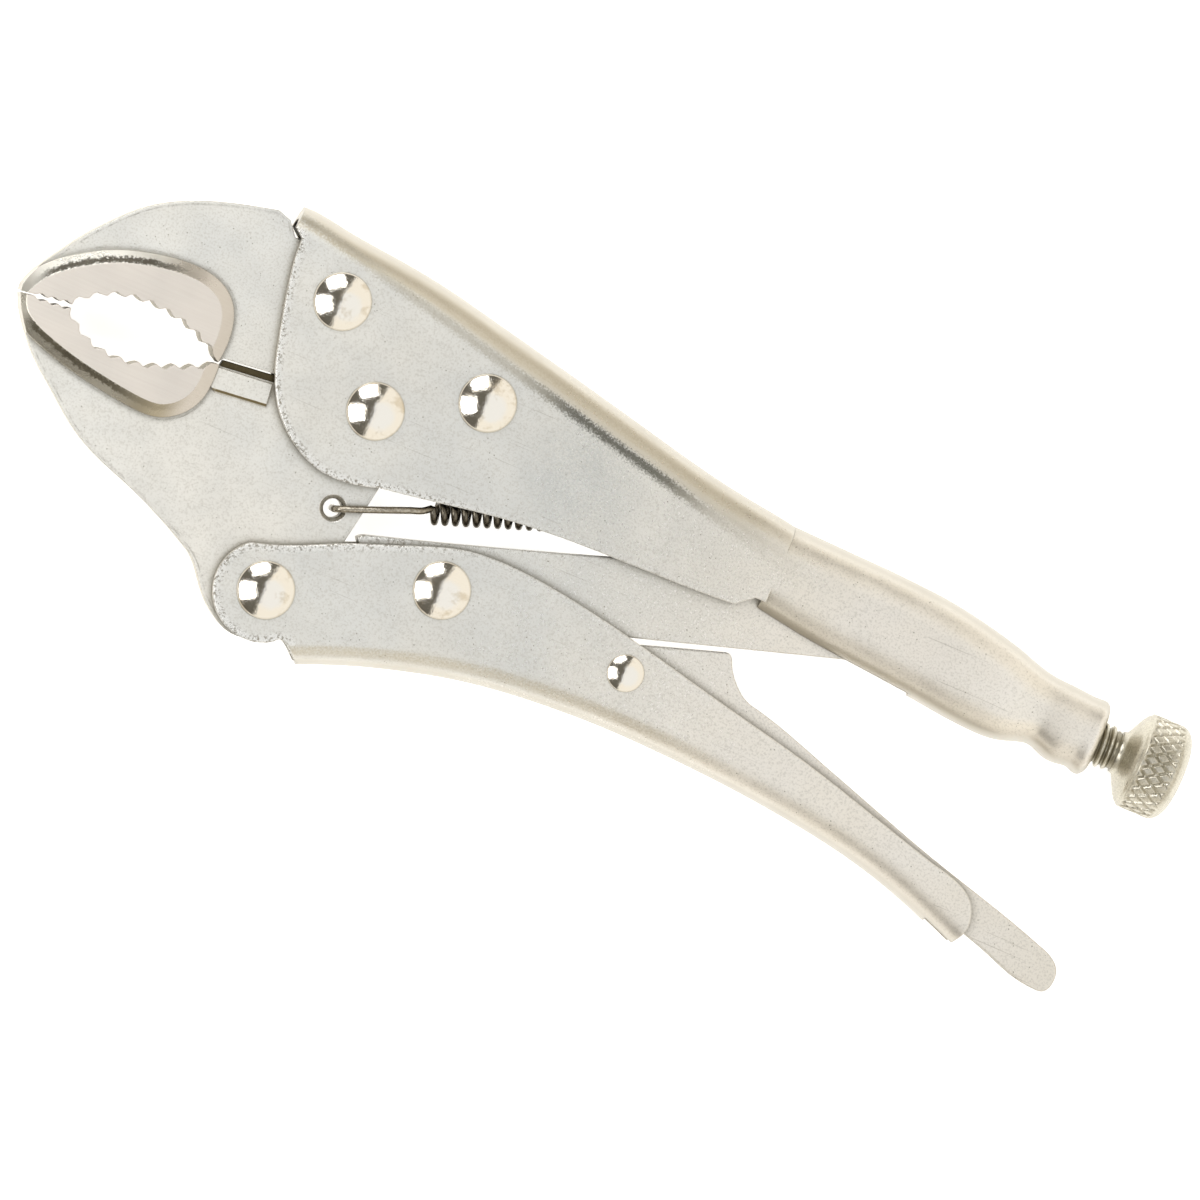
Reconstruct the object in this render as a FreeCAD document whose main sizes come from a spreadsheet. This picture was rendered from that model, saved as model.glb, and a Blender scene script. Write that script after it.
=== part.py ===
import FreeCAD, Part
import math
import os

# Curved-jaw locking pliers, locked shut and lying flat.
# X runs rearwards along the adjusting screw, Y up towards the back of the upper handle,
# Z across the thickness. Outlines are in mm from the jaw pivot, on the middle plane.

doc = FreeCAD.newDocument("locking_pliers")
V = FreeCAD.Vector

SIZES = {
    # where the jaw pivot and the middle plane lie in the part's frame
    "shift_along": -45.4,
    "shift_up": 9.84,
    "mid_height": 8.7,
    # plates and channels
    "plate_thickness": 6.0,
    "fixed_plate_thickness": 6.36,
    "land_thickness": 11.0,
    "block_thickness": 7.6,
    "blade_thickness": 3.0,
    "link_thickness": 5.8,
    "lever_thickness": 5.8,
    "lever_slot_width": 2.8,
    "cheek_gap": 6.4,
    "channel_width": 11.4,
    # pins
    "rivet_head_radius": 5.15,
    "rivet_head_rise": 1.5,
    "rivet_shank_radius": 2.7,
    "rivet_seat": 5.73,
    "lever_head_radius": 3.3,
    "lever_head_rise": 0.9,
    "lever_shank_radius": 1.5,
    "lever_seat": 5.84,
    "pin_clearance": 0.05,
    "staked_clearance": 0.01,
    # return spring
    "wire_radius": 0.55,
    "coil_radius": 1.8,
    "coil_pitch": 1.85,
    "coil_turns": 22,
    "spring_hole_radius": 1.7,
    "spring_countersink_radius": 2.4,
    # adjusting screw
    "screw_level": -3.6,
    "screw_radius": 4.0,
    "bore_radius": 4.08,
    "cavity_radius": 4.35,
    "thread_pitch": 1.4,
    "thread_depth": 0.7,
    "tip_radius": 2.9,
    "ring_radius": 4.0,
    "ring_start": 106.6,
    "ring_width": 1.5,
    "knob_radius": 8.7,
    "knurl_depth": 0.4,
    "knurl_width": 0.55,
    "knurl_angle": 32.0,
    "knurl_count": 26,
    # toothed edges
    "tooth_depth": 0.8,
}

sheet = doc.addObject("Spreadsheet::Sheet", "Sizes")
for row, (alias, value) in enumerate(SIZES.items(), start=1):
    sheet.set("A%d" % row, alias)
    sheet.set("B%d" % row, str(value))
    sheet.setAlias("B%d" % row, alias)
doc.recompute()

JAW_PIVOT = (0.0, 0.0)
FIXED_JAW_RIVET_FRONT = (-12.8, 15.3)
FIXED_JAW_RIVET_REAR = (17.5, 9.0)
HANDLE_PIVOT = (-5.3, -36.1)
LINK_PIVOT = (23.0, -24.1)
LEVER_PIVOT = (58.3, -24.8)
SPRING_HOLE = (0.1, -18.4)


def size(alias):
    return float(sheet.get(alias))


def name_it(thing, label):
    thing.Label = label
    return thing


def set_down(thing, x=0.0, y=0.0, z=0.0):
    """Place a thing at a point measured from the jaw pivot on the middle plane."""
    thing.setExpression("Placement.Base.x", "Sizes.shift_along + (%g)" % x)
    thing.setExpression("Placement.Base.y", "Sizes.shift_up + (%g)" % y)
    thing.setExpression("Placement.Base.z", "Sizes.mid_height + (%g)" % z)
    return thing


def outline(name, start, pieces):
    """A closed sketch from a start point and runs of lines, arcs and smooth curves."""
    sketch = doc.addObject("Sketcher::SketchObject", name)
    here = V(start[0], start[1], 0)
    for kind, points in pieces:
        points = [V(x, y, 0) for x, y in points]
        if kind == "line":
            for there in points:
                sketch.addGeometry(Part.LineSegment(here, there), False)
                here = there
            continue
        if kind == "arc":
            sketch.addGeometry(Part.Arc(here, points[0], points[1]), False)
        else:
            curve = Part.BSplineCurve()
            curve.interpolate([here] + points)
            sketch.addGeometry(curve, False)
        here = points[-1]
    return set_down(sketch)


def slab(name, sketch, thickness):
    """A plate of a sketch, centred on the middle plane."""
    plate = doc.addObject("Part::Extrusion", name)
    plate.Base = sketch
    plate.DirMode = "Custom"
    plate.Dir = V(0, 0, 1)
    plate.Solid = True
    plate.Symmetric = True
    plate.setExpression("LengthFwd", thickness)
    return plate


def pin_hole(name, centre, radius, length="Sizes.channel_width + 4"):
    """A round bar across the thickness, used to cut a hole."""
    bar = doc.addObject("Part::Cylinder", name)
    bar.setExpression("Radius", radius)
    bar.setExpression("Height", length)
    set_down(bar, *centre)
    bar.setExpression("Placement.Base.z", "Sizes.mid_height - (%s) / 2" % length)
    return bar


def joined(name, parts):
    whole = doc.addObject("Part::MultiFuse", name)
    whole.Shapes = parts
    whole.Refine = True
    return whole


def shared(name, parts):
    whole = doc.addObject("Part::MultiCommon", name)
    whole.Shapes = parts
    return whole


def less(name, base, tools):
    """The base with one or more tools cut away."""
    tool = tools[0]
    if len(tools) > 1:
        tool = doc.addObject("Part::Compound", name + "_cuts")
        tool.Links = tools
    rest = doc.addObject("Part::Cut", name)
    rest.Base = base
    rest.Tool = tool
    return rest


def plain(name, shape):
    """A built shape, set down from the jaw pivot."""
    thing = doc.addObject("Part::Feature", name)
    thing.Shape = shape
    return set_down(thing)


def edges_at(shape, height, keep):
    """Numbers of the edges that lie at a height off the middle plane and pass a test."""
    level = size("mid_height") + height
    found = []
    for number, edge in enumerate(shape.Edges, start=1):
        ends = edge.BoundBox
        if abs(ends.ZMin - level) < 0.001 and abs(ends.ZMax - level) < 0.001:
            middle = edge.valueAt((edge.FirstParameter + edge.LastParameter) / 2)
            if keep(middle.x - size("shift_along"), middle.y - size("shift_up")):
                found.append(number)
    return found


def sloped(name, base, height, drop, run, keep):
    """Slope the chosen outer edges of a plate, on both faces."""
    doc.recompute()
    numbers = edges_at(base.Shape, height, keep) + edges_at(base.Shape, -height, keep)
    bevel = doc.addObject("Part::Chamfer", name)
    bevel.Base = base
    bevel.Edges = [(number, run, drop) for number in numbers]
    return bevel


def toothed(points, count, inwards):
    """Walk a smooth curve and leave shallow rounded notches between flat-topped teeth."""
    curve = Part.BSplineCurve()
    curve.interpolate([V(x, y, 0) for x, y in points])
    marks = curve.discretize(count * 4 + 1)
    depth = size("tooth_depth")
    walked = []
    for number, mark in enumerate(marks[1:], start=1):
        step = marks[min(number + 1, len(marks) - 1)] - marks[number - 1]
        across = V(-step.y, step.x, 0).normalize() * inwards
        sink = {1: 0.75, 2: 1.0, 3: 0.35, 0: 0.0}[number % 4] * depth
        walked.append((mark.x + across.x * sink, mark.y + across.y * sink))
    return walked


# ---------------------------------------------------------------- jaws

UPPER_BITE = [(-55.9, -3.7), (-52.3, -0.7), (-47.5, 1.2), (-42.9, 1.6), (-38.7, 1.2),
              (-35.1, 0.3), (-31.6, -1.2), (-29.6, -2.3)]
LOWER_BITE = [(-55.8, -4.3), (-53.0, -6.6), (-50.3, -8.0), (-46.9, -8.7), (-43.0, -8.6),
              (-38.8, -7.6), (-34.4, -5.9), (-31.0, -4.4), (-29.6, -3.5)]
UPPER_LIP = [(-62.4, -4.55), (-60.3, -4.3), (-58.2, -4.0), (-55.9, -3.7)]
LOWER_LIP = [(-62.4, -4.85), (-60.3, -4.8), (-58.2, -4.6), (-55.8, -4.3)]

upper_mouth = [("line", [UPPER_LIP[0]]),
               ("line", toothed(UPPER_LIP, 3, 0.55)),
               ("line", toothed(UPPER_BITE, 9, 1.0)),
               ("line", [(-28.5, -2.95)])]
lower_mouth = [("line", [LOWER_LIP[0]]),
               ("line", toothed(LOWER_LIP, 3, -0.55)),
               ("line", toothed(LOWER_BITE, 9, -1.0)),
               ("line", [(-28.5, -3.2)])]

UPPER_BACK = [(-65.2, -3.8), (-64.0, -0.4), (-61.2, 4.2), (-59.3, 7.1), (-55.0, 12.5), (-50.1, 17.3),
              (-46.6, 19.6), (-41.2, 22.1), (-35.0, 24.1), (-29.0, 25.6)]
LOWER_BACK = [(-63.7, -7.9), (-62.0, -10.3), (-58.6, -14.3), (-53.4, -18.5), (-47.0, -23.4),
              (-40.6, -26.6), (-34.3, -28.8), (-27.0, -31.8), (-20.6, -35.0)]

fixed_plate_sketch = outline("fixed_jaw_outline", (-65.05, -5.0), upper_mouth + [
    ("line", [(-27.8, -1.95), (-18.0, -0.85), (-13.69, -0.5)]),
    ("arc", [(0.0, 13.7), (13.5, 2.6)]),
    ("line", [(19.5, 1.2)]),
    ("arc", [(25.2, 7.0), (23.6, 14.6)]),
    ("curve", [(10.0, 17.8), (-5.0, 20.2), (-20.0, 21.6)]),
    ("line", [(-24.6, 22.4), (-26.5, 24.8), (-29.0, 25.6)]),
    ("curve", UPPER_BACK[::-1][1:]),
    ("line", [(-65.05, -5.0)])])
fixed_plate = slab("fixed_jaw_plate", fixed_plate_sketch, "Sizes.fixed_plate_thickness")

fixed_land_sketch = outline("fixed_jaw_land_outline", (-28.6, -9.0), [
    ("curve", [(-28.4, -2.95), (-28.2, 0.0), (-28.6, 4.0), (-30.2, 7.6), (-33.8, 10.2), (-38.9, 11.0),
               (-46.4, 10.0), (-52.7, 8.0), (-58.0, 5.0), (-61.6, 2.3), (-64.2, -0.6), (-65.8, -3.8),
               (-66.4, -9.0)]),
    ("line", [(-28.6, -9.0)])])
fixed_land_block = slab("fixed_jaw_land_block", fixed_land_sketch, "Sizes.land_thickness")
fixed_land_full = sloped("fixed_jaw_land_full", fixed_land_block, size("land_thickness") / 2, 2.2, 1.35,
                         lambda x, y: y > -8.9)
below_fixed = slab("below_fixed_jaw", outline("below_fixed_jaw_outline", (-68.0, -5.0), [
    ("line", [(-65.05, -5.0)])] + upper_mouth + [
    ("line", [(-22.0, -2.95), (-22.0, -18.0), (-68.0, -18.0), (-68.0, -5.0)])]), "Sizes.channel_width + 4")
fixed_land = less("fixed_jaw_land", shared("fixed_jaw_land_trimmed", [
    fixed_land_full, slab("fixed_jaw_trim", fixed_plate_sketch, "Sizes.land_thickness")]), [below_fixed])
fixed_blank = joined("fixed_jaw_blank", [fixed_plate, fixed_land])
fixed_jaw = less("fixed_jaw", fixed_blank, [
    pin_hole("fixed_jaw_front_hole", FIXED_JAW_RIVET_FRONT,
             "Sizes.rivet_shank_radius + Sizes.staked_clearance"),
    pin_hole("fixed_jaw_rear_hole", FIXED_JAW_RIVET_REAR,
             "Sizes.rivet_shank_radius + Sizes.staked_clearance")])

movable_plate_sketch = outline("movable_jaw_outline", (-65.0, -5.25), lower_mouth + [
    ("line", [(-27.6, -3.35), (-18.2, -2.35), (-13.1, -1.62)]),
    ("arc", [(4.5, 12.41), (6.2, -11.65)]),
    ("line", [(2.2, -34.6)]),
    ("arc", [(0.5, -42.0), (-5.3, -45.2)]),
    ("curve", [(-8.4, -45.3), (-11.5, -43.9), (-15.3, -40.6), (-17.9, -37.3), (-20.6, -35.0)]),
    ("curve", LOWER_BACK[::-1][1:]),
    ("line", [(-65.0, -5.25)])])
movable_plate = slab("movable_jaw_plate", movable_plate_sketch, "Sizes.plate_thickness")

movable_land_sketch = outline("movable_jaw_land_outline", (-28.2, 2.0), [
    ("curve", [(-28.1, -3.2), (-28.0, -6.6), (-28.6, -10.2), (-30.6, -13.4), (-34.4, -15.8),
               (-39.0, -16.1), (-45.0, -15.4), (-51.8, -14.2), (-57.4, -12.7), (-61.4, -11.2),
               (-64.4, -9.0), (-66.2, -5.0), (-66.6, 2.0)]),
    ("line", [(-28.2, 2.0)])])
movable_land_block = slab("movable_jaw_land_block", movable_land_sketch, "Sizes.land_thickness")
movable_land_full = sloped("movable_jaw_land_full", movable_land_block, size("land_thickness") / 2,
                           2.3, 1.35, lambda x, y: y < 1.9)
above_movable = slab("above_movable_jaw", outline("above_movable_jaw_outline", (-68.0, -5.25), [
    ("line", [(-65.0, -5.25)])] + lower_mouth + [
    ("line", [(-22.0, -3.2), (-22.0, 14.0), (-68.0, 14.0), (-68.0, -5.25)])]), "Sizes.channel_width + 4")
movable_land = less("movable_jaw_land", shared("movable_jaw_land_trimmed", [
    movable_land_full, slab("movable_jaw_trim", movable_plate_sketch, "Sizes.land_thickness")]),
    [above_movable])
cutter_block = slab("cutter_block", outline("cutter_block_outline", (-28.3, -3.75), [
    ("line", [(-18.2, -2.75), (-17.7, -7.0), (-26.7, -8.0)]),
    ("arc", [(-28.2, -6.9), (-28.3, -3.75)])]), "Sizes.block_thickness")
cutter_back = sloped("cutter_back", cutter_block, size("block_thickness") / 2, 0.7, 0.9,
                     lambda x, y: y < -7.2)
cutter_blade = slab("cutter_blade", outline("cutter_blade_outline", (-27.9, -3.6), [
    ("line", [(-27.6, -2.2), (-18.0, -1.1), (-14.2, -0.8), (-13.6, -2.6), (-18.0, -3.4),
              (-27.0, -4.4), (-27.9, -3.6)])]), "Sizes.blade_thickness")
movable_blank = joined("movable_jaw_blank", [movable_plate, movable_land, cutter_back, cutter_blade])

countersink = doc.addObject("Part::Cone", "spring_countersink")
countersink.setExpression("Radius1", "Sizes.spring_hole_radius")
countersink.setExpression("Radius2", "Sizes.spring_countersink_radius + 0.3")
countersink.Height = 1.0
set_down(countersink, *SPRING_HOLE)
countersink.setExpression("Placement.Base.z", "Sizes.mid_height + Sizes.plate_thickness / 2 - 0.7")
movable_jaw = less("movable_jaw", movable_blank, [
    pin_hole("movable_jaw_pivot_hole", JAW_PIVOT, "Sizes.rivet_shank_radius + Sizes.pin_clearance"),
    pin_hole("movable_jaw_handle_hole", HANDLE_PIVOT, "Sizes.rivet_shank_radius + Sizes.pin_clearance"),
    pin_hole("movable_jaw_spring_hole", SPRING_HOLE, "Sizes.spring_hole_radius"),
    countersink])


# ---------------------------------------------------------------- channel handles

def hoop(x, top, bottom, half, top_round, bottom_round):
    """A rounded box outline across the pliers at one station along X."""
    def at(y, z):
        return V(x, y, z)

    def corner(y, z, radius, up, side):
        bend = radius * (1 - math.sqrt(0.5))
        return at(y - up * bend, z - side * bend)

    t, b = top_round, bottom_round
    return Part.Wire([
        Part.LineSegment(at(top, -half + t), at(top, half - t)).toShape(),
        Part.Arc(at(top, half - t), corner(top, half, t, 1, 1), at(top - t, half)).toShape(),
        Part.LineSegment(at(top - t, half), at(bottom + b, half)).toShape(),
        Part.Arc(at(bottom + b, half), corner(bottom, half, b, -1, 1), at(bottom, half - b)).toShape(),
        Part.LineSegment(at(bottom, half - b), at(bottom, -half + b)).toShape(),
        Part.Arc(at(bottom, -half + b), corner(bottom, -half, b, -1, -1),
                 at(bottom + b, -half)).toShape(),
        Part.LineSegment(at(bottom + b, -half), at(top - t, -half)).toShape(),
        Part.Arc(at(top - t, -half), corner(top, -half, t, 1, -1), at(top, -half + t)).toShape()])


def read_off(rows, x):
    """A row's values at a place along X, on a smooth line through all the rows."""
    def slope(number, column):
        before = rows[max(number - 1, 0)]
        after = rows[min(number + 1, len(rows) - 1)]
        return (after[column] - before[column]) / (after[0] - before[0])

    number = max(i for i in range(len(rows) - 1) if rows[i][0] <= x)
    here, there = rows[number], rows[number + 1]
    span = there[0] - here[0]
    u = (x - here[0]) / span
    values = []
    for column in range(1, len(here)):
        rise_here = span * slope(number, column)
        rise_there = span * slope(number + 1, column)
        values.append((1 + 2 * u) * (1 - u) ** 2 * here[column] + u * (1 - u) ** 2 * rise_here
                      + u * u * (3 - 2 * u) * there[column] + u * u * (u - 1) * rise_there)
    return values


def skin(rows, count, section):
    """A smooth solid through evenly spaced sections of the rows."""
    first, last = rows[0][0], rows[-1][0]
    places = [first + (last - first) * number / count for number in range(count + 1)]
    places[-1] = last
    return Part.makeLoft([hoop(x, *section(*read_off(rows, x))) for x in places], True, False)


HALF = size("channel_width") / 2
GAP = size("cheek_gap") / 2

# the front of the upper handle: back line, then half width, at stations along X
upper_front = [(-27, 27.6, 5.7), (-15, 26.95, 5.7), (-5, 25.8, 5.7), (5, 24.4, 5.7), (17, 21.9, 5.7),
               (31, 19.0, 5.7), (45, 15.9, 5.9), (60, 12.7, 6.2), (76.2, 10.3, 6.4)]
upper_front_skin = plain("upper_front_skin", skin(
    upper_front, 10, lambda top, half: (top, -22, half, 4.6, 1.0)))
upper_front_space = plain("upper_front_space", skin(
    upper_front, 10, lambda top, half: (top - 2.4, -24, half - 2.5, 1.7, 1.0)))
upper_side = slab("upper_side", outline("upper_side_outline", (-24.7, 30.0), [
    ("line", [(-25.3, 24.0), (-23.6, 22.6), (-23.4, 19.0)]),
    ("curve", [(-22.4, 13.3), (-20.9, 6.9), (-18.7, -0.8), (-16.2, -5.6), (-13.1, -9.0), (-8.8, -11.9),
               (-4.2, -13.4), (0.2, -13.4), (6.0, -12.0)]),
    ("curve", [(15.5, -10.5), (28.4, -8.4), (40.5, -7.4), (53.6, -7.0), (71.0, -6.3)]),
    ("line", [(74.0, -3.8), (76.0, -3.8), (76.0, 30.0), (-24.7, 30.0)])]), "Sizes.channel_width + 8")
upper_front_shell = less("upper_front_shell", shared("upper_front_body", [upper_front_skin, upper_side]),
                         [upper_front_space])

# the rolled rear of the upper handle: back line, belly line and half width
upper_rear = [(75.3, 10.4, -5.7, 6.4), (86, 10.1, -7.3, 6.5), (96, 9.85, -8.2, 6.6), (106, 9.2, -9.1, 6.7),
              (114, 7.95, -10.0, 6.75), (121, 6.35, -10.3, 6.6), (125, 5.1, -9.6, 6.35),
              (128.3, 4.3, -8.45, 6.2), (131.6, 4.1, -9.4, 6.3), (136, 3.8, -9.75, 6.35),
              (139.8, 3.6, -8.9, 6.2)]
upper_rear_tube = plain("upper_rear_tube", skin(
    upper_rear, 24, lambda top, low, half: (top, low, half, min(half, (top - low) / 2) - 0.9,
                                            min(half, (top - low) / 2) - 0.9)))
upper_rear_space = plain("upper_rear_space", skin(
    [(74.0, 10.5, -5.5, 6.4)] + upper_rear[1:6], 8,
    lambda top, low, half: (top - 2.4, low + 2.3, half - 2.5, 2.0, 2.0)))
doc.recompute()
neck_end = max(range(len(upper_rear_tube.Shape.Faces)),
               key=lambda number: upper_rear_tube.Shape.Faces[number].CenterOfMass.x)
upper_rear_skin = doc.addObject("Part::Fillet", "upper_rear_skin")
upper_rear_skin.Base = upper_rear_tube
upper_rear_skin.Edges = [
    (number, 1.3, 1.3) for number, edge in enumerate(upper_rear_tube.Shape.Edges, start=1)
    if any(edge.isSame(rim) for rim in upper_rear_tube.Shape.Faces[neck_end].Edges)]


def bar_along(name, radius, start, length):
    """A round bar on the screw's line."""
    bar = doc.addObject("Part::Cylinder", name)
    bar.setExpression("Radius", radius)
    bar.setExpression("Height", length)
    bar.Placement.Rotation = FreeCAD.Rotation(V(0, 1, 0), 90)
    set_down(bar, start, 0)
    bar.setExpression("Placement.Base.y", "Sizes.shift_up + Sizes.screw_level")
    return bar


def block(name, corner, spans):
    """A box with one corner measured from the jaw pivot on the middle plane."""
    box = doc.addObject("Part::Box", name)
    box.Length, box.Width, box.Height = spans
    return set_down(box, *corner)


link_slot = block("link_slot", (74.0, -14.0, -GAP), (32.0, 14.0, 2 * GAP))
rolled_seam = block("rolled_seam", (105.0, -12.0, -0.15), (40.0, 6.0, 0.3))
spring_tab_block = block("spring_tab_block", (66.0, 2.6, -2.2), (1.6, 8.4, 4.4))
spring_tab_hole = doc.addObject("Part::Cylinder", "spring_tab_hole")
spring_tab_hole.setExpression("Radius", "Sizes.wire_radius + 0.35")
spring_tab_hole.Height = 8.0
spring_tab_hole.Placement.Rotation = FreeCAD.Rotation(V(0, 1, 0), 90)
set_down(spring_tab_hole, 62.0, 5.75)
upper_handle = less("upper_handle", joined("upper_handle_blank", [
    upper_front_shell,
    less("upper_rear_shell", upper_rear_skin, [upper_rear_space]),
    spring_tab_block]), [
    link_slot, rolled_seam, spring_tab_hole,
    bar_along("screw_cavity", "Sizes.cavity_radius", 100.0, "23.5 mm"),
    bar_along("screw_bore", "Sizes.bore_radius", 120.0, "24 mm"),
    pin_hole("upper_front_hole", FIXED_JAW_RIVET_FRONT,
             "Sizes.rivet_shank_radius + Sizes.staked_clearance"),
    pin_hole("upper_rear_hole", FIXED_JAW_RIVET_REAR,
             "Sizes.rivet_shank_radius + Sizes.staked_clearance"),
    pin_hole("upper_pivot_hole", JAW_PIVOT, "Sizes.rivet_shank_radius + Sizes.staked_clearance")])

# the lower handle: back line and half width, its channel open upwards
lower_back = [(-16, -53.0, 5.7), (-8, -51.0, 5.7), (0, -48.3, 5.7), (5, -46.0, 5.7), (13, -42.8, 5.7),
              (24, -39.4, 5.7), (35, -37.0, 5.7), (46, -35.7, 5.75), (60, -35.1, 5.8), (78, -35.7, 5.8),
              (92, -36.9, 5.8), (105, -38.8, 5.7), (118, -41.9, 5.6), (126, -45.0, 5.5), (133, -47.6, 5.5)]
lower_skin = plain("lower_skin", skin(
    lower_back, 14, lambda low, half: (-5.0, low, half, 1.0, 4.6)))
lower_space = plain("lower_space", skin(
    lower_back, 14, lambda low, half: (-3.0, low + 2.4, half - 2.5, 1.0, 1.6)))
lower_side = slab("lower_side", outline("lower_side_outline", (-10.9, -29.4), [
    ("curve", [(-1.0, -25.7), (3.6, -23.5), (11.0, -20.6), (18.9, -17.6), (24.0, -16.1), (29.5, -15.5),
               (40.3, -16.1), (59.0, -19.3), (78.3, -23.5), (93.0, -26.6), (108.0, -30.6), (121.0, -34.2)]),
    ("curve", [(124.7, -35.0), (127.6, -36.1), (129.9, -37.8), (131.1, -40.2), (131.3, -42.6),
               (130.4, -44.9), (129.2, -47.0)]),
    ("line", [(128.0, -52.0), (5.4, -52.0), (5.0, -45.9)]),
    ("curve", [(2.8, -44.0), (0.8, -43.0), (-0.6, -43.9)]),
    ("arc", [(-14.1, -38.9), (-10.9, -29.4)])]), "Sizes.channel_width + 8")
lower_handle = less("lower_handle", shared("lower_body", [lower_skin, lower_side]), [
    lower_space,
    block("lower_nose_gap", (-18.0, -56.0, -GAP), (22.9, 40.0, 2 * GAP)),
    block("lower_tail_gap", (124.0, -52.0, -GAP), (12.0, 20.0, 2 * GAP)),
    pin_hole("lower_handle_hole", HANDLE_PIVOT, "Sizes.rivet_shank_radius + Sizes.staked_clearance"),
    pin_hole("lower_link_hole", LINK_PIVOT, "Sizes.rivet_shank_radius + Sizes.staked_clearance"),
    pin_hole("lower_lever_hole", LEVER_PIVOT, "Sizes.lever_shank_radius + Sizes.staked_clearance")])


# ---------------------------------------------------------------- link and lever

link_plate = slab("link_plate", outline("toggle_link_outline", (6.0, -21.4), [
    ("curve", [(6.6, -20.8), (7.8, -20.3)]),
    ("curve", [(25.5, -14.8), (46.3, -7.9), (58.0, -3.9)]),
    ("curve", [(70.0, -1.2), (84.0, 0.4), (95.6, 0.8)]),
    ("arc", [(99.4, -3.0), (95.6, -6.8)]),
    ("line", [(92.0, -7.9), (63.6, -16.7), (16.5, -31.3)]),
    ("curve", [(14.2, -30.2), (11.5, -27.5), (8.2, -24.1), (6.0, -21.4)])]), "Sizes.link_thickness")
toggle_link = less("toggle_link", link_plate, [
    pin_hole("link_hole", LINK_PIVOT, "Sizes.rivet_shank_radius + Sizes.pin_clearance")])

lever_pieces = [
    ("curve", [(56.2, -19.9), (59.0, -19.4)]),
    ("line", [(74.0, -14.5)]),
    ("curve", [(74.6, -14.9), (75.3, -16.2), (77.2, -18.8), (79.4, -20.6), (82.1, -21.5)]),
    ("curve", [(87.3, -22.8), (95.5, -25.4), (108.0, -29.4), (121.2, -33.5), (135.2, -37.3),
               (144.7, -40.2)]),
    ("curve", [(147.4, -41.3), (148.9, -42.8), (149.3, -44.8), (148.7, -46.9), (147.0, -47.6)]),
    ("curve", [(141.9, -46.8), (136.5, -44.9), (131.3, -43.3), (126.0, -41.2), (118.0, -38.5),
               (104.0, -35.0), (90.0, -31.6), (76.0, -29.8), (62.0, -30.2)]),
    ("curve", [(57.0, -30.4), (53.3, -27.8), (52.6, -23.9), (54.0, -21.0)])]
lever_plate = slab("lever_plate", outline("lever_outline", (54.0, -21.0), lever_pieces),
                   "Sizes.lever_thickness")
lever_slot = slab("lever_slot", outline("lever_slot_outline", (66.0, -21.0), [
    ("curve", [(72.0, -19.3), (77.0, -22.4), (82.0, -23.6)]),
    ("curve", [(95.0, -27.3), (108.0, -31.3), (121.0, -35.4), (135.0, -39.1), (143.0, -41.6)]),
    ("line", [(145.0, -50.0), (66.0, -50.0), (66.0, -21.0)])]), "Sizes.lever_slot_width")
release_lever = less("release_lever", lever_plate, [
    lever_slot,
    pin_hole("lever_hole", LEVER_PIVOT, "Sizes.lever_shank_radius + Sizes.pin_clearance")])


# ---------------------------------------------------------------- rivets

def rivet(name, centre, head, rise, shank, seat):
    """A pin domed over at both ends, turned from a half outline."""
    head_radius = size(head)
    dome = size(rise)
    shank_radius = size(shank)
    under = size(seat)
    ball = (head_radius ** 2 + dome ** 2) / (2 * dome)
    lean = math.asin(head_radius / ball) / 2
    middle = (ball * math.sin(lean), under + dome - ball * (1 - math.cos(lean)))
    half = outline(name + "_half", (0.0, under + dome), [
        ("arc", [middle, (head_radius, under)]),
        ("line", [(shank_radius, under), (shank_radius, -under), (head_radius, -under)]),
        ("arc", [(middle[0], -middle[1]), (0.0, -under - dome)]),
        ("line", [(0.0, under + dome)])])
    half.Placement.Rotation = FreeCAD.Rotation(V(1, 0, 0), 90)
    set_down(half, *centre)
    turned = doc.addObject("Part::Revolution", name)
    turned.Source = half
    turned.Axis = V(0, 0, 1)
    turned.setExpression("Base.x", "Sizes.shift_along + (%g)" % centre[0])
    turned.setExpression("Base.y", "Sizes.shift_up + (%g)" % centre[1])
    turned.Solid = True
    return turned


big = ("rivet_head_radius", "rivet_head_rise", "rivet_shank_radius", "rivet_seat")
small = ("lever_head_radius", "lever_head_rise", "lever_shank_radius", "lever_seat")
rivets = [rivet("jaw_pivot_rivet", JAW_PIVOT, *big),
          rivet("fixed_jaw_rivet_front", FIXED_JAW_RIVET_FRONT, *big),
          rivet("fixed_jaw_rivet_rear", FIXED_JAW_RIVET_REAR, *big),
          rivet("handle_pivot_rivet", HANDLE_PIVOT, *big),
          rivet("link_pivot_rivet", LINK_PIVOT, *big),
          rivet("lever_pivot_rivet", LEVER_PIVOT, *small)]


# ---------------------------------------------------------------- adjusting screw and its ring

def turned_on_screw_line(name, start, pieces):
    """A shape turned about the screw's line from a half outline of (along, radius) points."""
    half = outline(name + "_half", start, pieces)
    half.setExpression("Placement.Base.y", "Sizes.shift_up + Sizes.screw_level")
    turned = doc.addObject("Part::Revolution", name)
    turned.Source = half
    turned.Axis = V(1, 0, 0)
    turned.setExpression("Base.y", "Sizes.shift_up + Sizes.screw_level")
    turned.setExpression("Base.z", "Sizes.mid_height")
    turned.Solid = True
    return turned


def thread(start, stop):
    """Ridges of the thread from one place along the screw to another."""
    pitch = size("thread_pitch")
    crest = size("screw_radius")
    root = crest - size("thread_depth")
    walk = []
    for number in range(int((stop - start) / pitch)):
        here = start + number * pitch
        walk += [(here, root), (here + 0.42 * pitch, crest), (here + 0.58 * pitch, crest)]
    return walk + [(start + int((stop - start) / pitch) * pitch, root)]


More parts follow.
